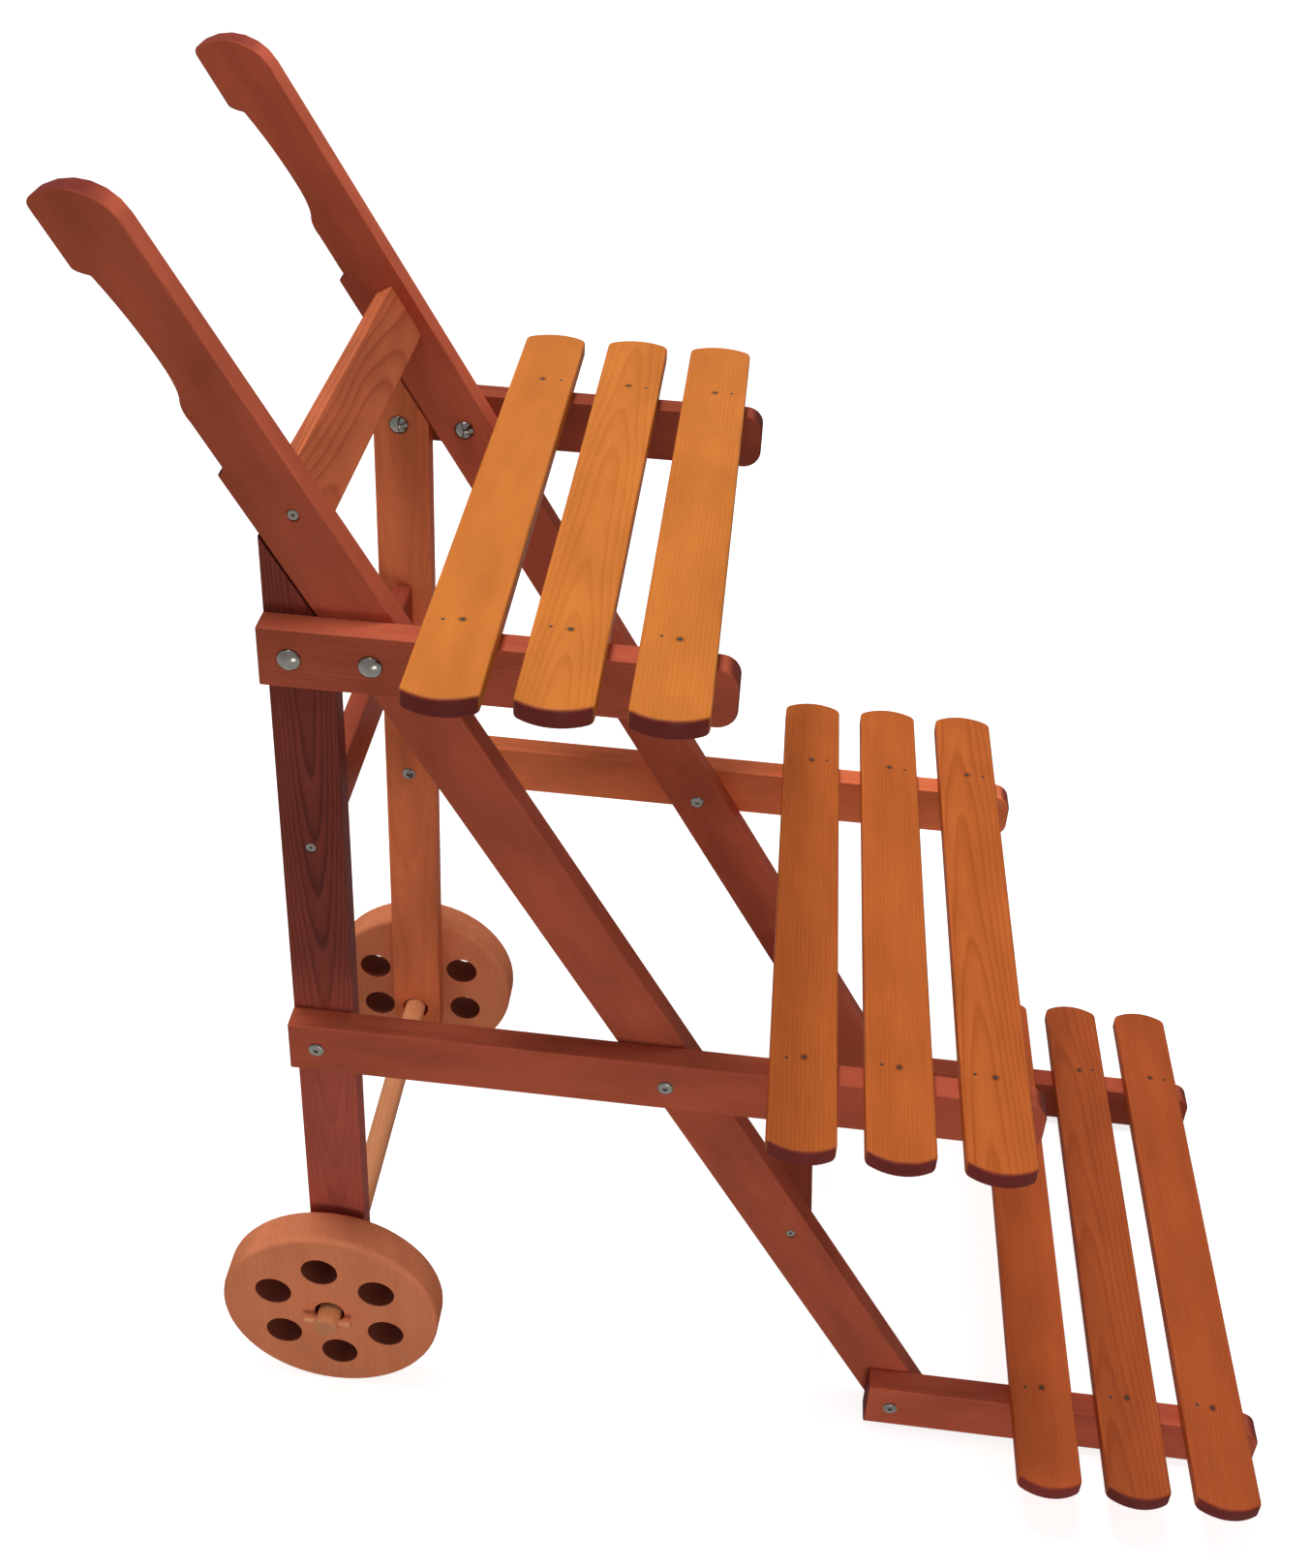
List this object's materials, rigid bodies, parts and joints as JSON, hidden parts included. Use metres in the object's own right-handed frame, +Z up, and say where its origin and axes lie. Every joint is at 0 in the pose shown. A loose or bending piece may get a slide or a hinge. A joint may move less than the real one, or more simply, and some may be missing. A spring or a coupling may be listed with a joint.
{
  "type": "flower cart stand",
  "caption": "Wooden plant cart with stepped slatted shelves, leaning side frames shaped into handles and solid wheels with round holes on a dowel axle",
  "frame": {"origin": "on the floor, under the middle of the overall length, on the plane of symmetry", "axes": "+X forward, the way the shelves step down; +Y to the left; +Z up"},
  "size_m": [1.1582, 0.68, 1.3147],
  "materials": {
    "frame_wood": "red-brown stained softwood under satin varnish",
    "slat_wood": "orange-brown stained softwood under satin varnish",
    "wheel_wood": "salmon-tan wood with a thin matt stain",
    "dowel_wood": "light dowel with a thin stain",
    "zinc_steel": "bright zinc plate"
  },
  "bodies": {
    "frame": {"right_stringer": "frame_wood", "left_stringer": "frame_wood", "right_leg": "frame_wood", "left_leg": "frame_wood", "right_upper_bearer": "frame_wood", "left_upper_bearer": "frame_wood", "right_middle_bearer": "frame_wood", "left_middle_bearer": "frame_wood", "right_lower_bearer": "frame_wood", "left_lower_bearer": "frame_wood", "upper_cross_board": "frame_wood", "leg_cross_board": "frame_wood", "lower_cross_board": "frame_wood", "upper_slat_1": "slat_wood", "upper_slat_2": "slat_wood", "upper_slat_3": "slat_wood", "middle_slat_1": "slat_wood", "middle_slat_2": "slat_wood", "middle_slat_3": "slat_wood", "lower_slat_1": "slat_wood", "lower_slat_2": "slat_wood", "lower_slat_3": "slat_wood", "right_upper_leg_carriage_bolt": "zinc_steel", "right_upper_leg_cap_nut": "zinc_steel", "right_upper_stringer_carriage_bolt": "zinc_steel", "right_upper_stringer_cap_nut": "zinc_steel", "right_middle_leg_connector_bolt": "zinc_steel", "right_middle_leg_sleeve_nut": "zinc_steel", "right_middle_stringer_connector_bolt": "zinc_steel", "right_middle_stringer_sleeve_nut": "zinc_steel", "right_lower_stringer_connector_bolt": "zinc_steel", "right_lower_stringer_sleeve_nut": "zinc_steel", "right_upper_cross_screw": "zinc_steel", "right_leg_cross_screw": "zinc_steel", "right_lower_cross_screw": "zinc_steel", "left_upper_leg_carriage_bolt": "zinc_steel", "left_upper_leg_cap_nut": "zinc_steel", "left_upper_stringer_carriage_bolt": "zinc_steel", "left_upper_stringer_cap_nut": "zinc_steel", "left_middle_leg_connector_bolt": "zinc_steel", "left_middle_leg_sleeve_nut": "zinc_steel", "left_middle_stringer_connector_bolt": "zinc_steel", "left_middle_stringer_sleeve_nut": "zinc_steel", "left_lower_stringer_connector_bolt": "zinc_steel", "left_lower_stringer_sleeve_nut": "zinc_steel", "left_upper_cross_screw": "zinc_steel", "left_leg_cross_screw": "zinc_steel", "left_lower_cross_screw": "zinc_steel"},
    "axle": {"axle": "dowel_wood", "right_wheel_peg": "dowel_wood", "left_wheel_peg": "dowel_wood"},
    "right_wheel": {"right_wheel": "wheel_wood"},
    "left_wheel": {"left_wheel": "wheel_wood"}
  },
  "joints": [
    {"name": "axle_turn", "type": "hinge", "parent": "frame", "child": "axle", "pos_m": [-0.39794, 0, 0.1123], "axis": [0, 1, 0], "continuous": true},
    {"name": "right_wheel_roll", "type": "hinge", "parent": "frame", "child": "right_wheel", "pos_m": [-0.39794, -0.2405, 0.115], "axis": [0, 1, 0], "continuous": true},
    {"name": "left_wheel_roll", "type": "hinge", "parent": "frame", "child": "left_wheel", "pos_m": [-0.39794, 0.2405, 0.115], "axis": [0, 1, 0], "continuous": true}
  ]
}
